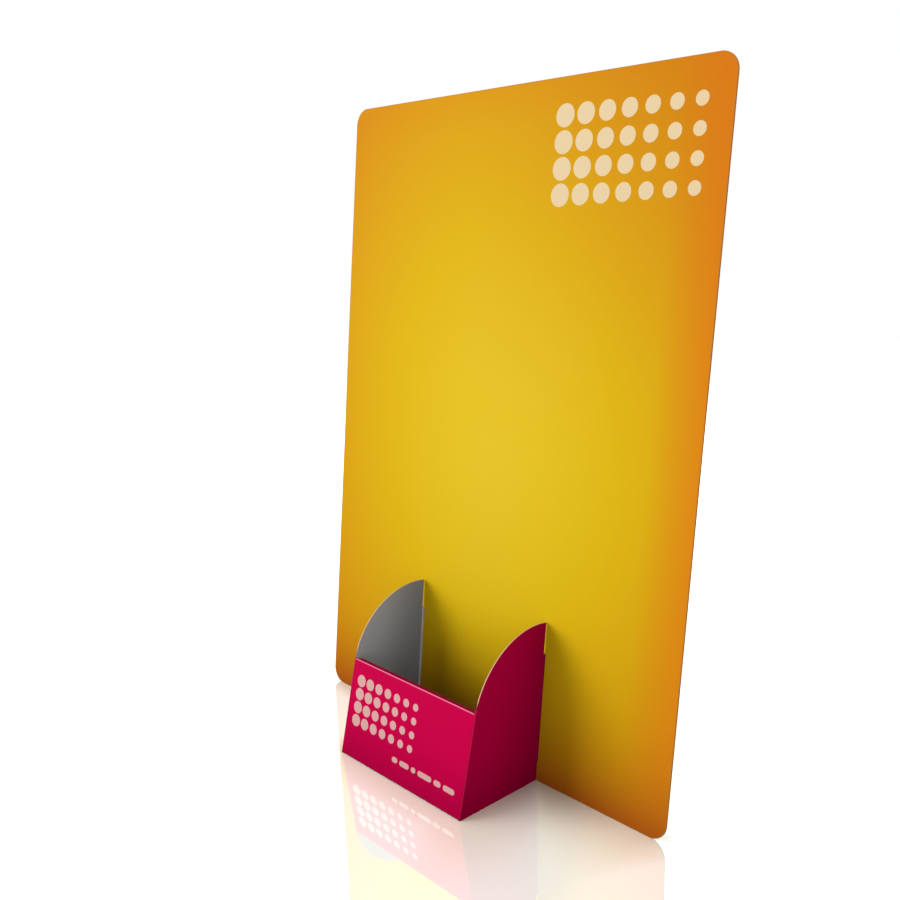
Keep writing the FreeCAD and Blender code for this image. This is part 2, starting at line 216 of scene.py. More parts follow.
# How far the stand's shade reaches at each place across the floor, as a share of its full reach,
# ahead of the board and behind it. The lamp stands at the front left, so that the shade ahead lies
# to the right of the pocket. All the places lie within half the profile's width of the middle.
PROFILE_HALF = 200 * MM
SHADE_AHEAD = (
    (-165 * MM, 0.2), (-70 * MM, 0.3), (-50 * MM, 0.42), (45 * MM, 0.45),
    (80 * MM, 1.0), (135 * MM, 1.0), (160 * MM, 0.2),
)
SHADE_BEHIND = ((-130 * MM, 0.1), (-60 * MM, 0.75), (60 * MM, 0.75), (130 * MM, 0.1))
BEHIND_BLUR = 20 * MM

# The floor: its brightness at its far end, just enough to be white in every colour, how rough its
# mirror image is, and the light it gives back at the stand's foot and away from it.
FAR_GLARE = 1.05
MIRROR_ROUGHNESS = 0.03
BOUNCE_AT_FOOT = (0.02, 0.02, 0.02)
BOUNCE_AWAY = (0.55, 0.54, 0.53)

# The key lamp stands to the front left, and looks at the middle of the stand.
KEY_PLACE = Vector((-2.38, -3.21, 1.48))
KEY_AIM = Vector((0.0, -0.02, 0.18))

# The camera's place, the spot that it looks at, its roll and its lens.
CAMERA_PLACE = Vector((0.40843, -0.44298, 0.31414))
CAMERA_AIM = Vector((-0.02731, -0.01797, 0.19622))
CAMERA_ROLL = math.radians(0.637)
CAMERA_LENS = 38.53


def tint(red, green, blue):
    """A colour from 0-255 screen values, as linear light."""
    shares = np.array([red, green, blue]) / 255
    low, high = shares / 12.92, ((shares + 0.055) / 1.055) ** 2.4
    return tuple(float(x) for x in np.where(shares <= 0.04045, low, high))


def length(name, value, note):
    """A length property, its default in metres."""
    return FloatProperty(
        name=name, description=note, default=value, min=0.0, precision=5, subtype="DISTANCE"
    )


def angle(name, degrees, note):
    """An angle property, its default in degrees."""
    return FloatProperty(
        name=name, description=note, default=math.radians(degrees), subtype="ANGLE"
    )


def share(name, value, note):
    """A number from 0 to 1."""
    return FloatProperty(
        name=name, description=note, default=value, min=0.0, max=1.0, subtype="FACTOR"
    )


def number(name, value, note, unit="NONE"):
    """A number of 0 or more."""
    return FloatProperty(name=name, description=note, default=value, min=0.0, unit=unit)


def colour(name, values, note):
    """A colour property, its default in 0-255 screen values."""
    return FloatVectorProperty(
        name=name, description=note, default=tint(*values), min=0.0, max=1.0, size=3,
        subtype="COLOR",
    )


class BoardSettings(bpy.types.PropertyGroup):
    """Sizes and colours of the poster board."""

    width: length("Width", BOARD_BOX[1].x - BOARD_BOX[0].x, "Board from side to side")
    height: length("Height", 420 * MM, "Board from its foot to its top edge")
    thickness: length("Thickness", 1.2 * MM, "Board's thickness")
    corner: length("Corner", 10.5 * MM, "Radius of the four corners")
    lean: angle("Lean", 3.6, "How far the board leans back")
    soft_edge: length("Soft edge", 0.15 * MM, "Rounding of the board's cut edges")
    slot_outer: length("Slot, outer side", 55.3 * MM, "Tab slot's outer side to the middle")
    slot_inner: length("Slot, inner side", 53.1 * MM, "Tab slot's inner side to the middle")
    slot_foot: length("Slot foot", 11.9 * MM, "Tab slot's lower end, up the board")
    slot_top: length("Slot top", 82.1 * MM, "Tab slot's upper end, up the board")
    glow: colour("Glow", (233, 198, 38), "Print in the middle of the board")
    yellow: colour("Yellow", (226, 187, 19), "Print round the middle")
    ember: colour("Ember", (203, 77, 3), "Print that the glow fades to, beyond the corners")
    orange: colour("Orange", (227, 138, 20), "Print along the edges")
    # Painted shade: the brownish colour that darkens the board's foot where it meets the floor.
    painted_foot_shade: colour("Brown", (189, 94, 22), "Print at the board's foot")
    motif: colour("Motif", (234, 210, 166), "Shapes printed on the board")
    # Painted shade: the darker line along the board's cut edges.
    rim: colour("Rim", (178, 128, 66), "Print where it runs thin along the cut edges")
    edge: colour("Cut edge", (196, 112, 34), "Cut edge of the board, tinted by the print")
    back: colour("Back", (222, 219, 210), "Unprinted back of the board")


class PocketSettings(bpy.types.PropertyGroup):
    """Sizes and colours of the leaflet pocket."""

    width: length("Width", POCKET_BOX[1].x - POCKET_BOX[0].x, "Pocket from side to side")
    depth: length("Depth", BOARD_BOX[0].y - POCKET_BOX[0].y, "Board to pocket front, at the foot")
    thickness: length("Thickness", 0.8 * MM, "Thickness of the card")
    fold: length("Fold", 0.9 * MM, "Outer radius of the folds")
    soft_edge: length("Soft edge", 0.12 * MM, "Rounding of the card's cut edges")
    front_height: length("Front height", 62 * MM, "Front wall's top edge above the table")
    front_lean: angle("Front lean", 10.9, "How far the front wall leans back")
    side_rise: length("Side rise", 101.7 * MM, "Side wall's rear corner, up the board")
    side_arc: length("Side arc", 53 * MM, "Radius of a side wall's curved top")
    ledge: length("Ledge", 4.0 * MM, "Turned-over top of the front wall, front to back")
    lip_drop: length("Lip drop", 11 * MM, "How far the turned-over lip hangs inside")
    lip_gap: length("Lip gap", 0.6 * MM, "Lip's end to the side wall's inner face")
    lip_mitre: length("Lip mitre", 2.4 * MM, "How much the ledge narrows at each end")
    lip_taper: length("Lip taper", 3 * MM, "How much the hanging lip narrows at each end")
    base_gap: length("Base gap", 0.5 * MM, "Base to the board")
    flap_height: length("Flap height", 14 * MM, "Height of the base's glue flaps")
    flap_inset: length("Flap inset", 3 * MM, "Front fold to the glue flap")
    flap_slant: length("Flap slant", 6 * MM, "Slant of a glue flap's ends")
    tab_foot: length("Tab foot", 12 * MM, "Tab's lower end, up the board")
    tab_top: length("Tab top", 81.6 * MM, "Tab's upper end, up the board")
    tab_reach: length("Tab reach", 18 * MM, "Tab's fold to its free edge")
    tab_slant: length("Tab slant", 5 * MM, "Slant of a tab's ends")
    tab_bend: length("Tab bend", 0.8 * MM, "Inner radius of a tab's fold")
    relief: length("Relief", 1.0 * MM, "Side wall to the board, just above the tab")
    relief_top: length("Relief, top", 0.8 * MM, "Side wall's rear corner to the board")
    magenta: colour("Magenta", (206, 0, 73), "Printed outside")
    # Painted shade: the darker colour on the turned-over top, at the foot and towards the walls'
    # rear.
    deep: colour("Deep magenta", (132, 0, 46), "Print on the turned-over top and the walls' rear")
    grey: colour("Grey", (200, 202, 208), "Unprinted inside")
    # Crease wear and a painted highlight along the tabs' creases.
    crease_wear_and_highlight: colour("Creased", (250, 248, 236), "Inside along the tabs' creases")
    # Pale card core, with a warm tint that is partly painted light bounced off the board.
    core: colour("Cut edge", (222, 186, 146), "Pale core that the cut edges show")
    # Ink wear and a painted highlight along the folds.
    worn: colour("Wear and highlight", (252, 148, 180), "Ink stretched over the folds")
    motif: colour("Motif", (226, 176, 171), "Shapes printed on the front wall")


class EaselSettings(bpy.types.PropertyGroup):
    """Colours of the easel back."""

    board: colour("Board", (168, 160, 146), "Grey board")
    fleck: colour("Fleck", (104, 96, 84), "Dark fibres in the grey board")
    speck: colour("Speck", (214, 209, 198), "Pale fibres in the grey board")


class StageSettings(bpy.types.PropertyGroup):
    """Floor, light and shade."""

    floor_size: length("Floor", 8.0, "Side of the square floor")
    gloss: share("Gloss", 0.6, "Floor's reflection at the stand's foot")
    mirror_reach: length("Reflection reach", 0.8, "Where the floor's reflection has faded away")
    shade_reach: length("Shade reach", 0.072, "Where the floor's shade has faded away, at most")
    dark_reach: length("Dark reach", 0.14, "Where the floor gives its full light back")
    white: number("White", 2.2, "Floor's lightness in the shade")
    warmth: colour("Warmth", (255, 252, 235), "Tone of the floor's shade")
    gleam: colour("Gleam", (255, 255, 250), "Tone of the floor away from the stand")
    # Painted shade on the floor in the corner where the pocket meets the board, and its reach.
    corner: share("Corner", 0.42, "How much darker the floor is where the pocket meets the board")
    corner_shade_reach: length("Corner reach", 0.075, "Where that dark corner has faded away")
    glare: number("Glare", 1.9, "Floor's brightness round the shade")
    glare_reach: length("Glare reach", 2.5, "Where the floor is as bright as the world behind it")
    sky: share("Sky", 0.72, "Strength of the even light all round")
    key: number("Key", 92.0, "Power of the key lamp", unit="POWER")
    key_size: length("Key size", 2.2, "Side of the key lamp")


def blend_edges(bottom, top, left, right):
    """A flat grid between four edges that share their corners: the blend from left to right plus
    the blend from bottom to top, less the blend of the four corners."""
    u = np.linspace(0, 1, len(bottom))[None, :, None]
    v = np.linspace(0, 1, len(left))[:, None, None]
    across = (1 - u) * left[:, None] + u * right[:, None]
    upwards = (1 - v) * bottom[None] + v * top[None]
    low = (1 - u) * bottom[0] + u * bottom[-1]
    high = (1 - u) * top[0] + u * top[-1]
    return across + upwards - ((1 - v) * low + v * high)


def columns_grid(x, low, high, shares):
    """A flat grid of upright columns: column i stands at x[i] and has its rows at the given
    shares of the way from low[i] to high[i]."""
    x, low, high = np.broadcast_arrays(x, low, high)
    up = low + (high - low) * np.asarray(shares)[:, None]
    return np.stack([np.broadcast_to(x, up.shape), up], axis=-1)


def rows_grid(x, widths, heights):
    """A flat grid of level rows: row j lies at heights[j], with every x times widths[j]."""
    across = np.asarray(widths)[:, None] * np.asarray(x)
    return np.stack([across, np.broadcast_to(np.asarray(heights)[:, None], across.shape)], axis=-1)


def mirrored(grid):
    """The same grid on the other side of the middle, with its columns turned round so that its
    faces still look the same way."""
    return grid[:, ::-1] * np.array([-1, 1])


def grid_faces(rows, columns):
    """The four corner numbers of each cell in a grid, counter-clockwise."""
    index = np.arange(rows * columns).reshape(rows, columns)
    corners = (index[:-1, :-1], index[:-1, 1:], index[1:, 1:], index[1:, :-1])
    return np.stack(corners, axis=-1).reshape(-1, 4)


def joined(grids):
    """One flat mesh from several grids, with the points that coincide made one."""
    points, faces, count = [], [], 0
    for grid in grids:
        points.append(grid.reshape(-1, 2))
        faces.append(grid_faces(*grid.shape[:2]) + count)
        count += len(points[-1])
    points, faces = np.concatenate(points), np.concatenate(faces)
    _, first, where = np.unique(
        np.round(points / WELD), axis=0, return_index=True, return_inverse=True
    )
    return points[first], where.reshape(-1)[faces]


Sheet = namedtuple("Sheet", "points normals flat depth faces kinds")


def thick_sheet(flat, faces, thickness, soft_edge):
    """Gives a flat mesh its thickness. The outline carries a profile: a quarter round, a straight
    rim and another quarter round, so that no cut edge is a knife edge. A point of the profile at
    angle t lies soft_edge * (1 - sin t) inside the outline and soft_edge * (1 - cos t) deep.
    The sheet notes for each point its flat place and its depth as a share of the thickness, and
    for each face its material number."""
    count = len(flat)
    edges = np.stack([faces, np.roll(faces, -1, axis=1)], axis=-1).reshape(-1, 2)
    code, turned = edges @ [count, 1], edges[:, ::-1] @ [count, 1]
    border = edges[~np.isin(code, turned)]
    run = flat[border[:, 1]] - flat[border[:, 0]]
    outward = np.stack([run[:, 1], -run[:, 0]], axis=-1)
    outward /= np.linalg.norm(outward, axis=1, keepdims=True)
    total = np.zeros((count, 2))
    np.add.at(total, border[:, 0], outward)
    np.add.at(total, border[:, 1], outward)
    rim = np.unique(border)
    mitre = 2 * total[rim] / np.sum(total[rim] ** 2, axis=1, keepdims=True)
    facing = total[rim] / np.linalg.norm(total[rim], axis=1, keepdims=True)

    sheet = flat.copy()
    sheet[rim] -= soft_edge * mitre
    turn = np.linspace(0, RIGHT_ANGLE, EDGE_STEPS + 1)
    inset = soft_edge * (1 - np.sin(turn))
    deep = soft_edge * (1 - np.cos(turn))
    insets = np.concatenate([inset, inset[::-1]])[1:-1]
    depths = np.concatenate([deep, thickness - deep[::-1]])[1:-1]
    slopes = np.concatenate([turn, np.pi - turn[::-1]])[1:-1]

    levels = [np.column_stack([sheet, np.full(count, depth)]) for depth in (0, thickness)]
    looks = [np.tile([0.0, 0.0, facing_out], (count, 1)) for facing_out in (-1, 1)]
    for step, depth, slope in zip(insets, depths, slopes):
        place = flat[rim] - step * mitre
        levels.append(np.column_stack([place, np.full(len(rim), depth)]))
        looks.append(np.column_stack([facing * np.sin(slope), np.full(len(rim), -np.cos(slope))]))

    rank = np.searchsorted(rim, border)
    starts = 2 * count + len(rim) * np.arange(len(insets))
    lines = [border, *(rank + start for start in starts), border + count]
    walls = [
        np.column_stack([outer[:, 1], outer[:, 0], inner[:, 0], inner[:, 1]])
        for outer, inner in zip(lines[:-1], lines[1:])
    ]
    wall = np.concatenate(walls)
    every = np.concatenate([faces, faces[:, ::-1] + count, wall])
    kinds = np.repeat([PRINTED, INSIDE, CUT], [len(faces), len(faces), len(wall)])
    points = np.concatenate(levels)
    flat, depth = points[:, :2].copy(), points[:, 2] / thickness
    return Sheet(points, np.concatenate(looks), flat, depth, every, kinds)


def bend(sheet, chosen, start, out, radius, turn):
    """Folds what lies past a line, in the points where chosen is True. The line runs through start,
    square to out. With q a point's distance past the line and d its depth in the sheet, the point
    rolls round an axis that lies radius deep: by q / radius until the fold's turn is full, and
    straight on after that. It comes to lie (radius - d) * sin(roll) out and
    radius - (radius - d) * cos(roll) deep, plus what is left of q along the new direction."""
    points, normals, out = sheet.points, sheet.normals, np.array([*out, 0.0])
    past = (points - np.array([*start, 0.0])) @ out
    moved = chosen & (past > 0)
    q, deep = past[moved], points[moved, 2]
    roll = np.minimum(q / radius, turn)
    rest = q - roll * radius
    ahead = (radius - deep) * np.sin(roll) + rest * np.cos(roll)
    down = radius - (radius - deep) * np.cos(roll) + rest * np.sin(roll)
    points[moved] += np.outer(ahead - q, out)
    points[moved, 2] = down
    along = normals[moved] @ out
    inward = normals[moved, 2].copy()
    normals[moved] += np.outer(along * np.cos(roll) - inward * np.sin(roll) - along, out)
    normals[moved, 2] = along * np.sin(roll) + inward * np.cos(roll)


def placed(points, origin, lean):
    """Stands a sheet up on its origin, leaning back: across stays across, up follows the lean, and
    depth goes backwards, square to both."""
    up = np.array([0.0, math.sin(lean), math.cos(lean)])
    back = np.array([0.0, math.cos(lean), -math.sin(lean)])
    return np.asarray(origin) + points @ np.array([[1.0, 0.0, 0.0], up, back])


def add_piece(name, sheet, origin, lean, materials, **marks):
    """Stands a sheet up and puts it into the scene, with its flat places as the UV map "sheet", and
    its depth and each further mark as a point attribute."""
    faces = sheet.faces
    mesh = bpy.data.meshes.new(name)
    mesh.from_pydata(placed(sheet.points, origin, lean), [], faces.tolist())
    for material in materials:
        mesh.materials.append(material)
    mesh.polygons.foreach_set("material_index", sheet.kinds.astype(np.int32))
    mesh.polygons.foreach_set("use_smooth", np.ones(len(faces), bool))
    layer = mesh.uv_layers.new(name="sheet")
    layer.data.foreach_set("uv", sheet.flat[faces.reshape(-1)].astype(np.float32).ravel())
    for label, values in {"depth": sheet.depth, **marks}.items():
        mark = mesh.attributes.new(label, "FLOAT", "POINT")
        mark.data.foreach_set("value", values.astype(np.float32))
    normals = placed(sheet.normals, (0, 0, 0), lean)
    mesh.normals_split_custom_set_from_vertices(normals.tolist())
    if mesh.validate():
        raise ValueError(f"{name} has faulty faces")
    piece = bpy.data.objects.new(name, mesh)
    bpy.context.scene.collection.objects.link(piece)
    return piece


def board_outline(p):
    """The board as a grid whose lines pass through its slots' sides. Cells in a slot are left out.
    In each corner square the cell places (a, b), from 0 to 1, go to a * sqrt(1 - b * b / 2) and
    b * sqrt(1 - a * a / 2), which turns the square into a quarter disc."""
    half, r = p.width / 2, p.corner
    corner = np.linspace(half - r, half, CORNER_STEPS)
    inner = np.linspace(0, p.slot_inner, INNER_COLUMNS)
    outer = np.linspace(p.slot_outer, half - r, OUTER_COLUMNS)
    right = np.unique(np.concatenate([inner, outer, corner]))
    x = np.concatenate([-right[:0:-1], right])
    foot = np.linspace(0, r, CORNER_STEPS)
    slot = np.linspace(p.slot_foot, p.slot_top, SLOT_ROWS)
    upper = np.linspace(p.slot_top, p.height - r, UPPER_ROWS)
    top = np.linspace(p.height - r, p.height, CORNER_STEPS)
    z = np.unique(np.concatenate([foot, slot, upper, top]))
    grid = np.stack(np.meshgrid(x, z), axis=-1)

    faces = grid_faces(len(z), len(x))
    flat = grid.reshape(-1, 2)
    centre = flat[faces].mean(axis=1)
    beside = (np.abs(centre[:, 0]) > p.slot_inner) & (np.abs(centre[:, 0]) < p.slot_outer)
    level = (centre[:, 1] > p.slot_foot) & (centre[:, 1] < p.slot_top)
    faces = faces[~(beside & level)]

    middle_up = p.height / 2
    offset = flat - [0, middle_up]
    past = np.abs(offset) - [half - r, middle_up - r]
    a, b = np.clip(past / r, 0, 1).T
    square = (past > 0).all(axis=1)
    disc = np.stack([a * np.sqrt(1 - b * b / 2), b * np.sqrt(1 - a * a / 2)], axis=-1) * r
    rounded = np.sign(offset) * (disc + [half - r, middle_up - r]) + [0, middle_up]
    flat = np.where(square[:, None], rounded, flat)

    used, faces = np.unique(faces, return_inverse=True)
    return flat[used], faces.reshape(-1, 4)


class PocketPlan:
    """Places on the pocket's sheet that several of its panels share."""

    def __init__(self, p, board):
        self.p = p
        self.lean = p.front_lean
        self.board_lean = board.lean
        self.foot_rise = board.thickness * math.sin(board.lean)
        self.height = p.front_height / math.cos(self.lean)
        self.roll = p.fold * RIGHT_ANGLE
        self.side_line = p.width / 2 - p.fold
        inner_face = p.width / 2 - p.thickness
        self.lip_line = inner_face - p.lip_gap
        self.flap_line = inner_face - p.fold
        self.ear_line = (self.side_line + self.lip_line) / 2
        self.blunt, self.acute = RIGHT_ANGLE + self.lean, RIGHT_ANGLE - self.lean
        self.foot_line = p.fold * math.tan(self.blunt / 2)
        self.top_line = self.height - p.fold * math.tan(self.acute / 2)
        bends = math.tan(self.acute / 2) + math.tan(self.blunt / 2)
        self.drop_line = self.top_line + p.fold * self.acute + p.ledge - p.fold * bends
        self.tab_radius = p.tab_bend + p.thickness
        self.tab_line = board.thickness + p.thickness - self.tab_radius
        inner_rows = np.linspace(self.foot_line, self.top_line, SIDE_ROWS - 1)
        self.rows = np.concatenate([[0], inner_rows, [self.height]])
        self.base_columns = np.linspace(-self.flap_line, self.flap_line, BASE_COLUMNS)
        self.lip_columns = np.concatenate([[-self.lip_line], self.base_columns, [self.lip_line]])

    def on_sheet(self, y, z):
        """Side view to sheet: across from the front's plane, and up its slope."""
        c, s = math.cos(self.lean), math.sin(self.lean)
        return np.stack([np.asarray(y) * c - np.asarray(z) * s, y * s + z * c], axis=-1)

    def on_board(self, up, behind):
        """A place up the board and behind its front face, on the sheet."""
        up, behind = np.asarray(up, float), np.asarray(behind, float)
        c, s = math.cos(self.board_lean), math.sin(self.board_lean)
        y, z = up * s + behind * c, up * c - behind * s
        return self.on_sheet(self.p.depth + y, self.foot_rise + z)

    def unrolled(self, place):
        """A side wall's place with the fold beside the front wall laid flat."""
        return place + [self.side_line + self.roll - self.p.fold, 0]


def side_curve(plan):
    """The side wall's top edge: the arc of the given radius from the front wall's top corner to
    the rear corner on the board, bulging up."""
    start, end = np.array([0.0, plan.height]), plan.on_board(plan.p.side_rise, -plan.p.relief_top)
    half = (end - start) / 2
    reach = np.linalg.norm(half)
    inward = np.array([half[1], -half[0]]) / reach
    centre = start + half + inward * math.sqrt(plan.p.side_arc**2 - reach**2)
    first, last = (math.atan2(*(spot - centre)[::-1]) for spot in (start, end))
    turn = np.linspace(first, last, ARC_STEPS + 1)
    return centre + plan.p.side_arc * np.stack([np.cos(turn), np.sin(turn)], axis=-1)


def side_grids(plan):
    """The right side wall, flat: the strip of its fold, the wall, and the rear tab. Where the sheet
    leans, its inner layer would reach through the table, so the foot of the ear and of the strip is
    cut higher, by the slope times how deep the inner layer lies at that point of the roll."""
    p, shares = plan.p, plan.rows / plan.height
    curve = side_curve(plan)
    roll = np.linspace(0, 1, ROLL_STEPS + 1)
    top = np.interp(roll * p.fold, curve[:, 0], curve[:, 1])
    inner = p.fold - (p.fold - p.thickness) * np.cos(roll * RIGHT_ANGLE)
    foot = inner * math.tan(plan.lean)
    ear = columns_grid([plan.ear_line, plan.side_line], foot[0], plan.height, shares)
    strip = columns_grid(plan.side_line + roll * plan.roll, foot, top, shares)

    past = curve[curve[:, 0] > p.fold * PAST_FOLD]
    top_edge = np.concatenate([strip[-1:, -1], plan.unrolled(past)])
    heel = plan.unrolled(plan.on_board(-plan.foot_rise / math.cos(plan.board_lean), 0))
    bottom_edge = strip[0, -1] + np.linspace(0, 1, len(top_edge))[:, None] * (heel - strip[0, -1])
    places = [0, TAB_FIRST_ROW, TAB_LAST_ROW, SIDE_ROWS]
    stops = np.stack([
        heel,
        plan.unrolled(plan.on_board(p.tab_foot, 0)),
        plan.unrolled(plan.on_board(p.tab_top, -p.relief)),
        top_edge[-1],
    ])
    row = np.arange(SIDE_ROWS + 1)
    rear_edge = np.stack([np.interp(row, places, stops[:, axis]) for axis in (0, 1)], axis=-1)
    wall = blend_edges(bottom_edge, top_edge, strip[:, -1], rear_edge)

    turns = np.linspace(0, RIGHT_ANGLE, ROLL_STEPS + 1) * plan.tab_radius
    free = p.tab_reach - plan.tab_radius
    q = plan.tab_line + np.concatenate([turns, turns[-1] + free * FLAP_SHARES])
    slant = p.tab_slant * np.clip((q - q[ROLL_STEPS]) / free, 0, 1)
    tab_shares = np.linspace(0, 1, TAB_LAST_ROW - TAB_FIRST_ROW + 1)
    up = columns_grid(q, p.tab_foot + slant, p.tab_top - slant, tab_shares)
    tab = plan.unrolled(plan.on_board(up[..., 1], up[..., 0]))
    root = rear_edge[TAB_FIRST_ROW:TAB_LAST_ROW + 1]
    return [ear, strip, wall, np.concatenate([root[:, None], tab], axis=1)]


def front_grids(plan):
    """The middle of the sheet, flat: front wall, turned-over lip above it, and base below it."""
    p = plan.p
    columns = np.concatenate([[-plan.ear_line], plan.lip_columns, [plan.ear_line]])
    inner_rows = plan.rows[1:-1]
    front = rows_grid(columns, np.ones(len(inner_rows)), inner_rows)

    steps = np.linspace(0, 1, ROLL_STEPS + 1)
    acute_roll, blunt_roll = p.fold * plan.acute, p.fold * plan.blunt
    first = plan.top_line + steps * acute_roll
    second = plan.drop_line + steps * blunt_roll
    end = second[-1] + p.lip_drop - plan.foot_line
    heights = np.concatenate([first, second, [end]])
    narrow = plan.lip_line - np.interp(
        heights, [first[-1], second[0], second[-1], end],
        [0, p.lip_mitre, p.lip_mitre, p.lip_mitre + p.lip_taper],
    )
    lip = rows_grid(plan.lip_columns, narrow / plan.lip_line, heights)

    roll = plan.foot_line - steps * blunt_roll
    rear = p.depth - p.base_gap
    stations = np.linspace(p.flap_inset, rear, BASE_ROWS)
    flats = roll[-1] - (stations - plan.foot_line)
    base_heights = np.concatenate([roll, flats])[::-1]
    base = rows_grid(plan.base_columns, np.ones(len(base_heights)), base_heights)

    wrap = np.concatenate([steps * plan.roll, plan.roll + (p.flap_height - p.fold) * FLAP_SHARES])
    slant = p.flap_slant * np.clip((wrap - plan.roll) / (wrap[-1] - plan.roll), 0, 1)
    shares = (flats[::-1] - flats[-1]) / (flats[0] - flats[-1])
    flap = columns_grid(plan.flap_line + wrap, flats[-1] + slant, flats[0] - slant, shares)
    return [front, lip, base, flap, mirrored(flap)]


def fold_pocket(plan, sheet):
    """Folds the flat sheet, its outermost flaps first."""
    p = plan.p
    across, up = sheet.flat.T
    outside = np.abs(across)
    wing = (outside > plan.ear_line - EAR_MARGIN * p.lip_gap) & (up > -p.fold)
    below = ~wing & (up < plan.foot_line)
    above = ~wing & (up > plan.top_line)
    tilt = plan.lean - plan.board_lean
    tab_start = plan.unrolled(plan.on_board(0, plan.tab_line))
    for side in (-1, 1):
        here = across * side > 0
        wall, flap, out = wing & here, below & here, (side, 0)
        away = np.array([side, 1])
        tab_out = away * [math.cos(tilt), math.sin(tilt)]
        bend(sheet, wall, away * tab_start, tab_out, plan.tab_radius, RIGHT_ANGLE)
        bend(sheet, wall, (side * plan.side_line, 0), out, p.fold, RIGHT_ANGLE)
        bend(sheet, flap, (side * plan.flap_line, 0), out, p.fold, RIGHT_ANGLE)
    bend(sheet, above, (0, plan.drop_line), (0, 1), p.fold, plan.blunt)
    bend(sheet, above, (0, plan.top_line), (0, 1), p.fold, plan.acute)
    bend(sheet, below, (0, plan.foot_line), (0, -1), p.fold, plan.blunt)


def worn_marks(plan, flat):
    """How strongly the fold marks show, ink wear and a painted highlight along the folds: 1 in the
    middle of the front wall's top fold, little in the middle of the others, and 0 where each roll
    ends. With t from -1 to 1 over the roll it is (1 - t * t) to the power FOLD_MARK_POWER."""
    p = plan.p
    across, up = flat.T
    front = np.abs(across) < plan.side_line
    side = (np.abs(across) - plan.side_line) / plan.roll
    top = np.where(front, (up - plan.top_line) / (p.fold * plan.acute), 0)
    foot = np.where(front, (plan.foot_line - up) / (p.fold * plan.blunt), 0)
    folds = np.clip(1 - (2 * np.stack([side, top, foot]) - 1) ** 2, 0, 1) ** FOLD_MARK_POWER
    return (folds * np.array([[SIDE_FOLD_MARK], [1.0], [SIDE_FOLD_MARK]])).max(axis=0)


def ledge_marks(plan, flat):
    """1 on the front wall's turned-over top, past its first fold, and 0 elsewhere."""
    across, up = flat.T
    past = (up - plan.top_line) / (plan.p.fold * plan.acute)
    return np.where(np.abs(across) <= plan.lip_line, np.clip(2 * past - 1, 0, 1), 0)


class Number:
    """A shader number. Each sum with it adds a Math node to its tree."""

    def __init__(self, tree, socket):
        self.tree, self.socket = tree, socket

    def calc(self, operation, *others, clamp=False):
        """The result of a Math node, with this number first."""
        return calc(self.tree, operation, self, *others, clamp=clamp)

    def __add__(self, other):
        return self.calc("ADD", other)

    def __sub__(self, other):
        return self.calc("SUBTRACT", other)

    def __rsub__(self, other):
        return calc(self.tree, "SUBTRACT", other, self)

    def __mul__(self, other):
        return self.calc("MULTIPLY", other)

    def __truediv__(self, other):
        return self.calc("DIVIDE", other)

    def __pow__(self, other):
        return self.calc("POWER", other)

    def __abs__(self):
        return self.calc("ABSOLUTE")

    def at_least(self, other):
        """The larger of two numbers."""
        return self.calc("MAXIMUM", other)

    def at_most(self, other):
        """The smaller of two numbers."""
        return self.calc("MINIMUM", other)

    def rise(self, low, high, top=1.0, kind="LINEAR"):
        """An even rise from 0 at low to the top value at high, and level beyond them."""
        inputs = {"Value": self, "From Min": low, "From Max": high, "To Max": top}
        item = add_node(self.tree, "ShaderNodeMapRange", inputs, interpolation_type=kind)
        return Number(self.tree, item.outputs[0])

    def ease(self, low, high):
        """0 up to low and 1 from high on, with a smooth start and end between them."""
        return self.rise(low, high, kind="SMOOTHSTEP")


def connect(tree, value, target):
    """Links a number or a node's output to an input, or sets a plain value there. A colour gets
    an opacity of 1."""
    value = getattr(value, "socket", value)
    if isinstance(value, bpy.types.NodeSocket):
        tree.links.new(value, target)
    elif target.type == "RGBA":
        target.default_value = (*value, 1.0)
    else:
        target.default_value = value


def add_node(tree, kind, inputs=None, **settings):
    """A shader node with its settings, and its inputs by name or number."""
    item = tree.nodes.new(kind)
    for label, value in settings.items():
        setattr(item, label, value)
    for label, value in (inputs or {}).items():
        connect(tree, value, item.inputs[label])
    return item


def calc(tree, operation, *values, clamp=False):
    """The result of a Math node."""
    inputs = dict(enumerate(values))
    item = add_node(tree, "ShaderNodeMath", inputs, operation=operation, use_clamp=clamp)
    return Number(tree, item.outputs[0])


def hypotenuse(first, second):
    """The square root of the sum of two squares."""
    return (first * first + second * second).calc("SQRT")


def mix(tree, factor, first, second, blend="MIX"):
    """Two colours mixed, through the inputs and the output that the node keeps for colours."""
    item = add_node(tree, "ShaderNodeMix", data_type="RGBA", blend_type=blend)
    for place, value in ((0, factor), (6, first), (7, second)):
        connect(tree, value, item.inputs[place])
    return item.outputs[2]


def noise(tree, point, fineness, detail=2.0):
    """An even noise from 0 to 1."""
    inputs = {"Vector": point, "Scale": fineness, "Detail": detail}
    return Number(tree, add_node(tree, "ShaderNodeTexNoise", inputs).outputs[0])


def ramp(tree, factor, stops):
    """A colour ramp through (place, colour) stops."""
    item = add_node(tree, "ShaderNodeValToRGB", {"Fac": factor})
    elements = item.color_ramp.elements
    while len(elements) < len(stops):
        elements.new(1.0)
    for element, (place, values) in zip(elements, stops):
        element.position = place
        element.color = (*values, 1.0)
    return item.outputs["Color"]


def ray(tree, kind):
    """1 for the named kind of ray and 0 for the others."""
    return Number(tree, add_node(tree, "ShaderNodeLightPath").outputs[f"Is {kind} Ray"])


def object_place(tree):
    """The place in the object's own coordinates."""
    return add_node(tree, "ShaderNodeTexCoord").outputs["Object"]


def split(tree, point):
    """The first two numbers of a place."""
    item = add_node(tree, "ShaderNodeSeparateXYZ", {"Vector": point})
    return Number(tree, item.outputs["X"]), Number(tree, item.outputs["Y"])


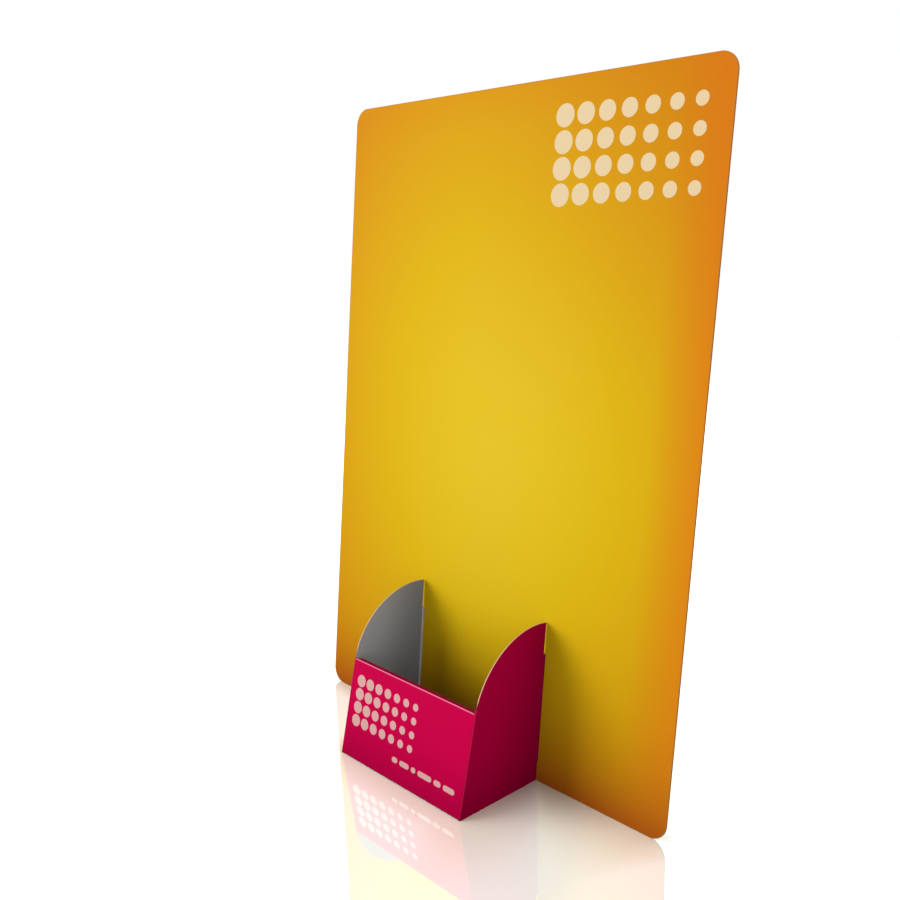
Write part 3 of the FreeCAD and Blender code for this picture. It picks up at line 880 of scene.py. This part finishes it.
def sheet_place(tree):
    """Across and up on the flat sheet."""
    return split(tree, add_node(tree, "ShaderNodeUVMap", uv_map="sheet").outputs["UV"])


def attribute(tree, name):
    """A point attribute's value."""
    return Number(tree, add_node(tree, "ShaderNodeAttribute", attribute_name=name).outputs["Fac"])


def paper_fibres(point, fineness, contrast):
    """Paper fibres: a fine noise and a coarser cloudiness. The shade is near 1, and the height is
    the fine noise."""
    fine = noise(point.tree, point, fineness, FIBRE_DETAIL)
    cloud = noise(point.tree, point, fineness * CLOUD_FINENESS)
    uneven = fine + cloud * CLOUD_WEIGHT - NOISE_MIDDLE * (1 + CLOUD_WEIGHT)
    return uneven * contrast + 1.0, fine


def round_bar(across, up, middle_across, middle_up, half_length, half_height):
    """A level bar with round ends: inside where the distance to its middle line is under half its
    height."""
    aside = abs(across - middle_across) - (half_length - half_height)
    beyond = hypotenuse(aside.at_least(0.0), up - middle_up) - half_height
    return (beyond.ease(INK_BLEED, -INK_BLEED),)


def dot_block(across, up, left, foot, pitch, columns, rows, first_radius, last_radius):
    """A block of round dots that shrink from its left column to its right one. The nearest dot's
    number is the place divided by the pitch, rounded and kept inside the block. A point is printed
    where its distance to that dot's centre is under the dot's radius."""
    numbers, asides = [], []
    for place, start, count in ((across, left, columns), (up, foot, rows)):
        offset = place - start
        nearest = (offset / pitch).calc("ROUND").at_least(0.0).at_most(count - 1.0)
        numbers.append(nearest)
        asides.append(offset - nearest * pitch)
    radius = first_radius + numbers[0] / (columns - 1.0) * (last_radius - first_radius)
    return ((hypotenuse(*asides) - radius).ease(INK_BLEED, -INK_BLEED),)


def worn_fold(point, fold):
    """Ink wear and a painted highlight: strongest where the fold's mark is 1, broken up by a noise
    along the fold.
    """
    grain = noise(point.tree, point, FOLD_MARK_GRAIN)
    broken = grain * FOLD_MARK_SPREAD + (1 - NOISE_MIDDLE * FOLD_MARK_SPREAD)
    return (fold.calc("MULTIPLY", broken, clamp=True),)


def rectangle_distance(across, along, half_width, near, far):
    """The distance outside a rectangle: for each direction the larger of 0 and how far the place
    lies past either side, and then the length of the two."""
    aside = abs(across) - half_width
    ahead = (near - along).at_least(along - far)
    return (hypotenuse(aside.at_least(0.0), ahead.at_least(0.0)),)


# The node groups: how each is built, its inputs and its outputs.
GROUPS = {
    "Paper fibres": (paper_fibres, ("Point", "Fineness", "Contrast"), ("Shade", "Height")),
    "Round bar": (
        round_bar,
        ("Across", "Up", "Middle Across", "Middle Up", "Half Length", "Half Height"),
        ("Mask",),
    ),
    "Dot block": (
        dot_block,
        ("Across", "Up", "Left", "Foot", "Pitch", "Columns", "Rows", "First Radius", "Last Radius"),
        ("Mask",),
    ),
    "Wear and highlight": (worn_fold, ("Point", "Fold"), ("Mask",)),
    "Rectangle distance": (
        rectangle_distance, ("Across", "Along", "Half Width", "Near", "Far"), ("Distance",)
    ),
}


def make_group(name, build, inputs, outputs):
    """A shader node group of numbers, of which only Point is a vector. Build gets the group's
    inputs, and returns its outputs."""
    group = bpy.data.node_groups.new(name, "ShaderNodeTree")
    for label in inputs:
        kind = "NodeSocketVector" if label == "Point" else "NodeSocketFloat"
        group.interface.new_socket(name=label, in_out="INPUT", socket_type=kind)
    for label in outputs:
        group.interface.new_socket(name=label, in_out="OUTPUT", socket_type="NodeSocketFloat")
    start, end = group.nodes.new("NodeGroupInput"), group.nodes.new("NodeGroupOutput")
    given = [Number(group, start.outputs[label]) for label in inputs]
    for label, value in zip(outputs, build(*given)):
        connect(group, value, end.inputs[label])


def use_group(tree, name, *values):
    """The outputs of a node group placed in a material, with its inputs' values in order."""
    item = add_node(tree, "ShaderNodeGroup", node_tree=bpy.data.node_groups[name])
    for value, target in zip(values, item.inputs, strict=True):
        connect(tree, value, target)
    return [Number(tree, output) for output in item.outputs]


def tree_of(block):
    """The node tree of a new material or world."""
    block.use_nodes = True
    return block.node_tree


def sheet_material(name, finish, paint, *given):
    """A material in the colour that the paint function returns, shaded by fibres, with a slight
    relief and a gloss that varies with them. Light that bounces from one sheet to the next is
    damped, so that the pocket's walls keep their own colour beside the bright board."""
    material = bpy.data.materials.new(name)
    tree = tree_of(material)
    shade, height = use_group(
        tree, "Paper fibres", object_place(tree), finish.fineness, finish.contrast
    )
    shaded = mix(tree, 1.0, paint(tree, *given), shade, "MULTIPLY")
    relief = {"Height": height, "Strength": finish.relief, "Distance": RELIEF_DEPTH}
    wiring = {
        "Base Color": mix(tree, ray(tree, "Diffuse") * BOUNCE_DAMPING, shaded, BLACK),
        "Normal": add_node(tree, "ShaderNodeBump", relief).outputs[0],
        "Roughness": height * GLOSS_SPREAD + (finish.roughness - NOISE_MIDDLE * GLOSS_SPREAD),
        "Specular IOR Level": finish.gloss,
    }
    for label, value in wiring.items():
        connect(tree, value, tree.nodes["Principled BSDF"].inputs[label])
    return material


def painted(tree, surface, *layers):
    """A colour under layers of (strength, colour), one after the other."""
    for strength, tone in layers:
        surface = mix(tree, strength, surface, tone)
    return surface


def plain(tree, surface):
    """One even colour."""
    return surface


def dots_mask(tree, across, up, dots):
    """A block of dots as a mask, in metres on the sheet."""
    left, foot, pitch, first_radius, last_radius = dots
    return use_group(
        tree, "Dot block", across, up, left, foot, pitch, DOT_COLUMNS, DOT_ROWS,
        first_radius, last_radius,
    )[0]


def board_print(tree, p):
    """The board's printed face: a glow in the middle that fades outwards, orange along the edges,
    deeper in the top right corner, with a brownish painted shade at the foot where the board meets
    the floor, and with a block of dots near the top. A painted shade darkens it behind the pocket,
    and a darker line is painted along its cut edges as their shade. The fading follows
    sqrt(a * a + b * b), where a and b are the distances across and up from the glow's middle as
    shares of its half width and half height."""
    across, up = sheet_place(tree)
    half = p.width / 2
    away = hypotenuse(across / GLOW_HALF_WIDTH, (up - GLOW_HEIGHT) / GLOW_HALF_HEIGHT)
    stops = [(0.0, p.glow), (YELLOW_STOP, p.yellow), (1.0, p.ember)]
    glow = ramp(tree, away.ease(0.0, 1.0), stops)
    corner = across.ease(half - CORNER_WIDTH, half) * up.ease(p.height - CORNER_HEIGHT, p.height)
    # Painted shade of the pocket on the board behind it.
    beside = abs(across).ease(POCKET_SHADE_SIDE, POCKET_SHADE_SIDE - SIDE_BLUR)
    painted_pocket_shade = beside * up.ease(POCKET_SHADE_TOP, POCKET_SHADE_TOP - TOP_BLUR)
    border = use_group(
        tree, "Rectangle distance", across, up, half - p.corner, p.corner, p.height - p.corner
    )[0]
    # A darker line painted along the cut edges, standing in for their shade.
    rim = border.ease(p.corner - RIM_WIDTH, p.corner - RIM_FULL)
    return painted(
        tree, glow,
        (across.rise(LEFT_BAND - half, -half, LEFT_WARMTH), p.orange),
        (up.rise(p.height - TOP_BAND, p.height, TOP_WARMTH), p.orange),
        (across.rise(half - RIGHT_BAND, half), p.orange),
        (corner * CORNER_WARMTH, p.ember),
        # Painted shade at the foot, where the board meets the floor.
        (up.rise(FOOT_BAND, 0.0) ** FOOT_STEEPNESS, p.painted_foot_shade),
        (dots_mask(tree, across, up, BOARD_DOTS), p.motif),
        (painted_pocket_shade * POCKET_SHADE, BLACK),
        (rim * RIM_SHADE_SHARE, p.rim),
    )


def crease_mask(plan, across, up):
    """1 along the creases where the side walls run into the board as tabs. A place's distance
    before the board is across * cos(t) + up * sin(t) less the same at the board's foot, and its
    height is up * cos(t) - across * sin(t) less the same, where t is how far the board leans
    against the sheet's up."""
    tilt = plan.lean - plan.board_lean
    c, s = math.cos(tilt), math.sin(tilt)
    x, z = (float(value) for value in plan.unrolled(plan.on_board(0, 0)))
    past = across * c + up * s - (x * c + z * s)
    height = up * c - across * s - (z * c - x * s)
    level = height.ease(plan.p.tab_top + CREASE_BLUR, plan.p.tab_top - CREASE_BLUR)
    return past.ease(-CREASE_WIDTH - CREASE_BLUR, -CREASE_WIDTH) * level


def pocket_inside(tree, p, plan):
    """The pocket's unprinted inside: grey card, with painted shade towards the rear of the side
    walls, paler along the tabs' creases, where crease wear and a painted highlight show, and
    painted paler in the floor's mirror image."""
    across, up = sheet_place(tree)
    across = abs(across)
    # Painted shade towards the walls' rear, crease wear with a painted highlight, and a painted
    # paler reflection.
    return painted(
        tree, p.grey,
        (across.ease(*INSIDE_START_END) * INSIDE_SHADE, BLACK),
        (crease_mask(plan, across, up), p.crease_wear_and_highlight),
        (ray(tree, "Glossy") * MIRROR_PALENESS, WHITE),
    )


def cut_edge(tree, core, skin, skin_share):
    """A cut edge: the sheet's core, with the printed skin as a thin line on its outer side."""
    ends = (skin_share * (1 + SKIN_BLUR), skin_share * (1 - SKIN_BLUR))
    return mix(tree, attribute(tree, "depth").ease(*ends), core, skin)


def pocket_print(tree, p):
    """The pocket's printed outside: one strong colour, with painted shade on the turned-over top,
    at the foot and towards the rear of the side walls, and paler along the folds, where ink wear
    and a painted highlight show. The front wall has a block of dots and a row of short dashes, each
    a gap after the one before."""
    across, up = sheet_place(tree)
    # Painted shade towards the rear of the side walls, at the foot and on the turned-over top.
    rear = abs(across).ease(*REAR_START_END) * REAR_SHADE
    painted_shade = rear + up.ease(*CARD_FOOT_START_END) * CARD_FOOT_SHADE
    painted_shade = painted_shade.at_least(attribute(tree, "ledge") * LEDGE_SHADE)
    shapes = dots_mask(tree, across, up, POCKET_DOTS)
    middles = DASH_START + np.cumsum(DASH_LENGTHS + DASH_GAP) - DASH_LENGTHS / 2 - DASH_GAP
    for middle, length_along in zip(middles, DASH_LENGTHS):
        dash = use_group(
            tree, "Round bar", across, up, middle, DASH_HEIGHT, length_along / 2, DASH_HALF_HEIGHT
        )[0]
        shapes = shapes.at_least(dash)
    # Ink wear and a painted highlight along the folds.
    worn = use_group(tree, "Wear and highlight", object_place(tree), attribute(tree, "worn"))[0]
    return painted(tree, p.magenta, (painted_shade, p.deep), (shapes, p.motif), (worn, p.worn))


def grey_board(tree, p):
    """Unprinted grey board: recycled fibres of three tones, cloudy, with a rough surface."""
    inputs = {"Vector": object_place(tree), "Scale": FLECK_STRETCH}
    stretched = add_node(tree, "ShaderNodeMapping", inputs).outputs[0]
    layers = [
        (noise(tree, stretched, fineness).ease(low, high) * FLECK_WEIGHT, tone)
        for (fineness, low, high), tone in ((FLECKS, p.fleck), (SPECKS, p.speck))
    ]
    return painted(tree, p.board, *layers)


def stand_distance(tree, across, back):
    """How far a place on the floor lies from the board's foot, the pocket or the easel."""
    board_y = BOARD_BOX[0].y
    boxes = (
        (BOARD_BOX[1].x, board_y, board_y + BOARD_FOOT),
        (POCKET_BOX[1].x, POCKET_BOX[0].y, board_y),
        (EASEL_FOOT, board_y, EASEL_BOX[1].y),
    )
    board, pocket, easel = (
        use_group(tree, "Rectangle distance", across, back, *box)[0] for box in boxes
    )
    return board.at_most(pocket).at_most(easel)


def profile(tree, across, points):
    """A number that changes across the floor, in even steps through (place, number) points."""
    stops = [((place / PROFILE_HALF + 1) / 2, (height,) * 3) for place, height in points]
    return ramp(tree, across.rise(-PROFILE_HALF, PROFILE_HALF), stops)


def mix_shaders(tree, factor, first, second):
    """Two shaders mixed."""
    return add_node(tree, "ShaderNodeMixShader", {0: factor, 1: first, 2: second}).outputs[0]


def floor_material(p):
    """A pale floor that is white but for the stand's shade beside it, and mirrors the stand
    faintly. Both the shade and the mirror image fade with the distance from the stand. A painted
    shade darkens it further in the corner where the pocket meets the board. The floor gives less
    light back beside the stand than away from it, which darkens the sheets' feet."""
    material = bpy.data.materials.new("floor")
    tree = tree_of(material)
    tree.nodes.remove(tree.nodes["Principled BSDF"])
    across, back = split(tree, object_place(tree))
    away = stand_distance(tree, across, back)
    behind = back - BOARD_BOX[0].y

    # Painted shade in the corner where the pocket meets the board.
    painted_corner_shade = hypotenuse(across - POCKET_BOX[1].x, behind).ease(p.corner_shade_reach, 0.0)
    light = p.white - painted_corner_shade * (p.corner * p.white)
    warm = add_node(tree, "ShaderNodeVectorMath", {0: p.warmth, "Scale": light}, operation="SCALE")
    shaded = add_node(tree, "ShaderNodeBsdfDiffuse", {"Color": warm.outputs[0]}).outputs[0]
    middle = away.ease(p.glare_reach, p.mirror_reach)
    glare = middle * (p.glare - FAR_GLARE) + FAR_GLARE
    lit = {"Color": p.gleam, "Strength": glare}
    bright = add_node(tree, "ShaderNodeEmission", lit).outputs[0]
    reaches = [profile(tree, across, points) for points in (SHADE_AHEAD, SHADE_BEHIND)]
    reach = Number(tree, mix(tree, behind.ease(0.0, BEHIND_BLUR), *reaches)) * p.shade_reach
    seen = mix_shaders(tree, away.ease(0.0, reach), shaded, bright)

    mirror = add_node(tree, "ShaderNodeBsdfGlossy", {"Roughness": MIRROR_ROUGHNESS}).outputs[0]
    seen = mix_shaders(tree, away.ease(p.mirror_reach, 0.0) * p.gloss, seen, mirror)
    given = mix(tree, away.ease(0.0, p.dark_reach), BOUNCE_AT_FOOT, BOUNCE_AWAY)
    bounce = add_node(tree, "ShaderNodeBsdfDiffuse", {"Color": given}).outputs[0]
    final = mix_shaders(tree, ray(tree, "Camera"), bounce, seen)
    connect(tree, final, tree.nodes["Material Output"].inputs["Surface"])
    return material


def light_world(p):
    """Even light all round, with plain white where the camera, a mirror or glass sees it."""
    world = bpy.data.worlds.new("studio")
    tree = tree_of(world)
    direct = ray(tree, "Camera").at_least(ray(tree, "Glossy")).at_least(ray(tree, "Transmission"))
    background = tree.nodes["Background"]
    connect(tree, WHITE, background.inputs["Color"])
    connect(tree, direct * (1.0 - p.sky) + p.sky, background.inputs["Strength"])
    bpy.context.scene.world = world


def look(item, place, aim, roll=0.0):
    """Stands a lamp or camera at a place, turned to its aim."""
    facing = (aim - place).to_track_quat("-Z", "Y").to_matrix().to_4x4()
    item.matrix_world = Matrix.Translation(place) @ facing @ Matrix.Rotation(roll, 4, "Z")


class STAND_OT_stage(bpy.types.Operator):
    """Adds the floor, the lamp, the camera and the even light"""

    bl_idname = "display_stand.add_stage"
    bl_label = "Add stage"

    def execute(self, context):
        p = context.scene.stand_stage
        scene = context.scene
        half = p.floor_size / 2
        mesh = bpy.data.meshes.new("floor")
        corners = np.array([(-half, -half, 0), (half, -half, 0), (half, half, 0), (-half, half, 0)])
        mesh.from_pydata(corners, [], [(0, 1, 2, 3)])
        mesh.materials.append(floor_material(p))
        floor = bpy.data.objects.new("floor", mesh)
        lamp = bpy.data.lights.new("key", "AREA")
        lamp.energy = p.key
        lamp.size = p.key_size
        key = bpy.data.objects.new("key", lamp)
        look(key, KEY_PLACE, KEY_AIM)
        camera = bpy.data.objects.new("camera", bpy.data.cameras.new("camera"))
        camera.data.lens = CAMERA_LENS
        look(camera, CAMERA_PLACE, CAMERA_AIM, CAMERA_ROLL)
        for item in (floor, key, camera):
            scene.collection.objects.link(item)
        scene.camera = camera
        scene.view_settings.view_transform = "Standard"
        light_world(p)
        return {"FINISHED"}


class STAND_OT_board(bpy.types.Operator):
    """Adds the printed poster board with its rounded corners and two tab slots"""

    bl_idname = "display_stand.add_board"
    bl_label = "Add poster board"

    def execute(self, context):
        p = context.scene.stand_board
        sheet = thick_sheet(*board_outline(p), p.thickness, p.soft_edge)
        origin = (0.0, BOARD_BOX[0].y, p.thickness * math.sin(p.lean))
        materials = [
            sheet_material("board_print", BOARD_PRINT, board_print, p),
            sheet_material("board_back", BOARD_BACK, plain, p.back),
            sheet_material("board_edge", CUT_EDGE, cut_edge, p.edge, p.orange, BOARD_SKIN),
        ]
        piece = add_piece("poster_board", sheet, origin, p.lean, materials)
        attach(piece, "root")
        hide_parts("poster_panel")
        return {"FINISHED"}


class STAND_OT_pocket(bpy.types.Operator):
    """Adds the leaflet pocket, folded from one card sheet"""

    bl_idname = "display_stand.add_pocket"
    bl_label = "Add leaflet pocket"

    def execute(self, context):
        p = context.scene.stand_pocket
        plan = PocketPlan(p, context.scene.stand_board)
        side = side_grids(plan)
        outline = joined([*front_grids(plan), *side, *(mirrored(grid) for grid in side)])
        sheet = thick_sheet(*outline, p.thickness, p.soft_edge)
        fold_pocket(plan, sheet)
        materials = [
            sheet_material("pocket_print", CARD_PRINT, pocket_print, p),
            sheet_material("pocket_inside", CARD_INSIDE, pocket_inside, p, plan),
            sheet_material("pocket_edge", CUT_EDGE, cut_edge, p.core, p.magenta, CARD_SKIN),
        ]
        piece = add_piece(
            "pocket_card", sheet, (0.0, BOARD_BOX[0].y - p.depth, 0.0), plan.lean, materials,
            worn=worn_marks(plan, sheet.flat), ledge=ledge_marks(plan, sheet.flat),
        )
        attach(piece, "root")
        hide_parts("leaflet_pocket")
        return {"FINISHED"}


class STAND_OT_easel(bpy.types.Operator):
    """Gives the easel back its grey board"""

    bl_idname = "display_stand.finish_easel"
    bl_label = "Finish easel back"

    def execute(self, context):
        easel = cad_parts["easel_back"]
        material = sheet_material("grey_board", GREY_BOARD, grey_board, context.scene.stand_easel)
        easel.data.materials.clear()
        easel.data.materials.append(material)
        return {"FINISHED"}


class STAND_PT_pieces(bpy.types.Panel):
    """Lists the stand's pieces"""

    bl_idname = "STAND_PT_pieces"
    bl_label = "Display stand"
    bl_space_type = "VIEW_3D"
    bl_region_type = "UI"
    bl_category = "Display stand"

    def draw(self, context):
        for operator in OPERATORS:
            self.layout.operator(operator.bl_idname)
        for group in SETTINGS:
            box = self.layout.box()
            for label in SETTINGS[group].__annotations__:
                box.prop(getattr(context.scene, group), label)


SETTINGS = {
    "stand_board": BoardSettings,
    "stand_pocket": PocketSettings,
    "stand_easel": EaselSettings,
    "stand_stage": StageSettings,
}
OPERATORS = (STAND_OT_stage, STAND_OT_board, STAND_OT_pocket, STAND_OT_easel)


def register():
    for item in (*SETTINGS.values(), *OPERATORS, STAND_PT_pieces):
        bpy.utils.register_class(item)
    for label, group in SETTINGS.items():
        setattr(bpy.types.Scene, label, PointerProperty(type=group))


def unregister():
    for label in SETTINGS:
        delattr(bpy.types.Scene, label)
    for item in (STAND_PT_pieces, *OPERATORS[::-1], *SETTINGS.values()):
        bpy.utils.unregister_class(item)


def main():
    """Builds every piece."""
    register()
    for name, recipe in GROUPS.items():
        make_group(name, *recipe)
    bpy.ops.display_stand.add_stage()
    bpy.ops.display_stand.add_board()
    bpy.ops.display_stand.add_pocket()
    bpy.ops.display_stand.finish_easel()


if __name__ == "__main__":
    main()
